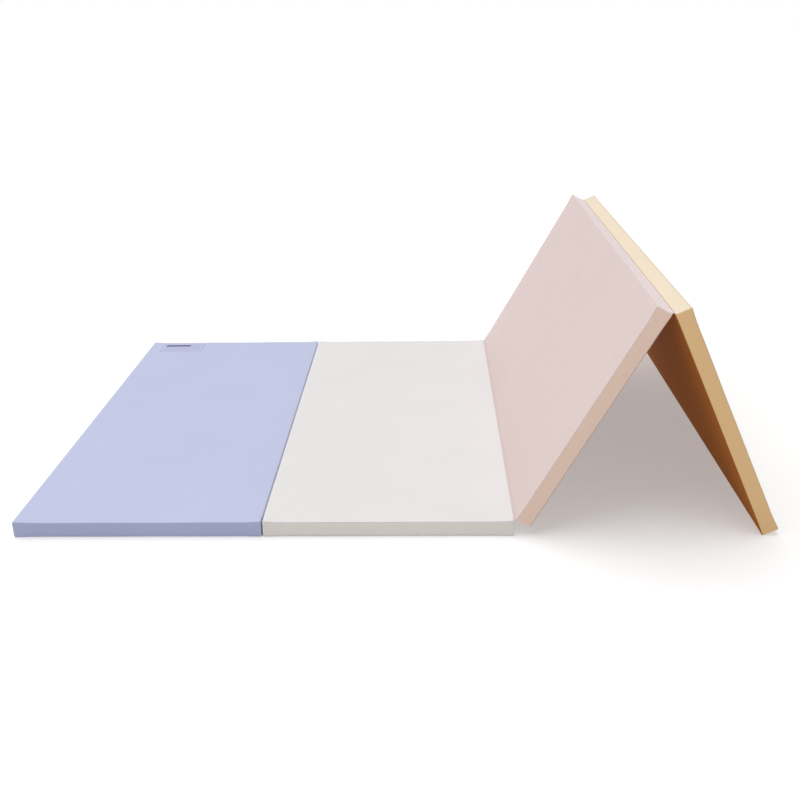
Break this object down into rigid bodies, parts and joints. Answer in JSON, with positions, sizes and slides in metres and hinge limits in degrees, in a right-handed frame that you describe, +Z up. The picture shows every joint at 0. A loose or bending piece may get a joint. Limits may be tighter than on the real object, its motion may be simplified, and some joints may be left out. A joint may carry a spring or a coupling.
{
  "type": "folding panel mat",
  "caption": "Zig-zag folding floor mat with padded rectangular panels hinged edge to edge; one half lies flat and the other half stands as a tent.",
  "frame": {"origin": "on the floor, midway along the length and midway along the panels' depth", "axes": "+X along the length, from the lilac end to the camel end; +Y across, towards the side with the zips; +Z up"},
  "size_m": [1.8144, 1.4039, 0.5596],
  "materials": {
    "lilac_leather": "fine-grained matt PU leather, lilac",
    "lilac_zip_tape": "woven polyester zip tape",
    "ivory_leather": "fine-grained matt PU leather, ivory",
    "ivory_zip_tape": "woven polyester zip tape",
    "rose_leather": "fine-grained matt PU leather, rose",
    "rose_zip_tape": "woven polyester zip tape",
    "camel_leather": "fine-grained matt PU leather, camel",
    "camel_zip_tape": "woven polyester zip tape",
    "foam": "closed-cell polyethylene foam",
    "zip_teeth": "nylon coil teeth",
    "zip_metal": "cream-painted zinc",
    "label_patch": "welded PU patch",
    "label_stripe": "printed violet stripe"
  },
  "bodies": {
    "lilac_panel": {"hinge_1_2_leaf_lilac": "lilac_leather", "lilac_base_sheet": "lilac_leather", "lilac_foam_core_lower": "foam", "lilac_foam_core_upper": "foam", "lilac_side_band": "lilac_leather", "lilac_top_sheet": "lilac_leather", "lilac_zip_stops": "zip_teeth", "lilac_zip_tape": "lilac_zip_tape", "lilac_zip_teeth": "zip_teeth", "label_patch": "label_patch", "label_stripe": "label_stripe"},
    "ivory_panel": {"hinge_1_2_leaf_ivory": "lilac_leather", "hinge_2_3_leaf_ivory": "rose_leather", "ivory_base_sheet": "ivory_leather", "ivory_foam_core_lower": "foam", "ivory_foam_core_upper": "foam", "ivory_side_band": "ivory_leather", "ivory_top_sheet": "ivory_leather", "ivory_zip_stops": "zip_teeth", "ivory_zip_tape": "ivory_zip_tape", "ivory_zip_teeth": "zip_teeth"},
    "rose_panel": {"hinge_2_3_leaf_rose": "rose_leather", "hinge_3_4_leaf_rose": "camel_leather", "rose_base_sheet": "rose_leather", "rose_foam_core_lower": "foam", "rose_foam_core_upper": "foam", "rose_side_band": "rose_leather", "rose_top_sheet": "rose_leather", "rose_zip_stops": "zip_teeth", "rose_zip_tape": "rose_zip_tape", "rose_zip_teeth": "zip_teeth"},
    "camel_panel": {"camel_base_sheet": "camel_leather", "camel_foam_core_lower": "foam", "camel_foam_core_upper": "foam", "camel_side_band": "camel_leather", "camel_top_sheet": "camel_leather", "camel_zip_stops": "zip_teeth", "camel_zip_tape": "camel_zip_tape", "camel_zip_teeth": "zip_teeth", "hinge_3_4_leaf_camel": "camel_leather"},
    "lilac_zip_slider": {"lilac_zip_slider": "zip_metal"},
    "lilac_zip_pull": {"lilac_zip_pull": "zip_metal"},
    "ivory_zip_slider": {"ivory_zip_slider": "zip_metal"},
    "ivory_zip_pull": {"ivory_zip_pull": "zip_metal"},
    "rose_zip_slider": {"rose_zip_slider": "zip_metal"},
    "rose_zip_pull": {"rose_zip_pull": "zip_metal"},
    "camel_zip_slider": {"camel_zip_slider": "zip_metal"},
    "camel_zip_pull": {"camel_zip_pull": "zip_metal"}
  },
  "joints": [
    {"name": "fold_1_2", "type": "hinge", "parent": "ivory_panel", "child": "lilac_panel", "pos_m": [-0.30874, 0, -0.001], "axis": [0, -1, 0], "range_deg": [0, 180]},
    {"name": "fold_2_3", "type": "hinge", "parent": "ivory_panel", "child": "rose_panel", "pos_m": [0.29126, 0, 0.041], "axis": [0, -1, 0], "range_deg": [-60.5, 119.5]},
    {"name": "fold_3_4", "type": "hinge", "parent": "rose_panel", "child": "camel_panel", "pos_m": [0.62327, 0, 0.54253], "axis": [0, 1, 0], "range_deg": [-125.99, 54.01]},
    {"name": "lilac_zip_slide", "type": "slide", "parent": "lilac_panel", "child": "lilac_zip_slider", "axis": [1, 0, 0], "range_m": [0, 0.5404]},
    {"name": "lilac_zip_pull_swing", "type": "hinge", "parent": "lilac_zip_slider", "child": "lilac_zip_pull", "pos_m": [-0.87894, 0.702, 0.02], "axis": [0, 0, -1], "range_deg": [0, 180]},
    {"name": "ivory_zip_slide", "type": "slide", "parent": "ivory_panel", "child": "ivory_zip_slider", "axis": [1, 0, 0], "range_m": [0, 0.5404]},
    {"name": "ivory_zip_pull_swing", "type": "hinge", "parent": "ivory_zip_slider", "child": "ivory_zip_pull", "pos_m": [-0.27894, 0.702, 0.02], "axis": [0, 0, -1], "range_deg": [0, 180]},
    {"name": "rose_zip_slide", "type": "slide", "parent": "rose_panel", "child": "rose_zip_slider", "axis": [0.4924, 0, 0.8704], "range_m": [0, 0.5404]},
    {"name": "rose_zip_pull_swing", "type": "hinge", "parent": "rose_zip_slider", "child": "rose_zip_pull", "pos_m": [0.32421, 0.702, 0.0566], "axis": [0.8704, 0, -0.4924], "range_deg": [0, 180]},
    {"name": "camel_zip_slide", "type": "slide", "parent": "camel_panel", "child": "camel_zip_slider", "axis": [-0.4148, 0, 0.9099], "range_m": [0, 0.5404]},
    {"name": "camel_zip_pull_swing", "type": "hinge", "parent": "camel_zip_slider", "child": "camel_zip_pull", "pos_m": [0.87892, 0.702, 0.03242], "axis": [0.9099, 0, 0.4148], "range_deg": [0, 180]}
  ]
}
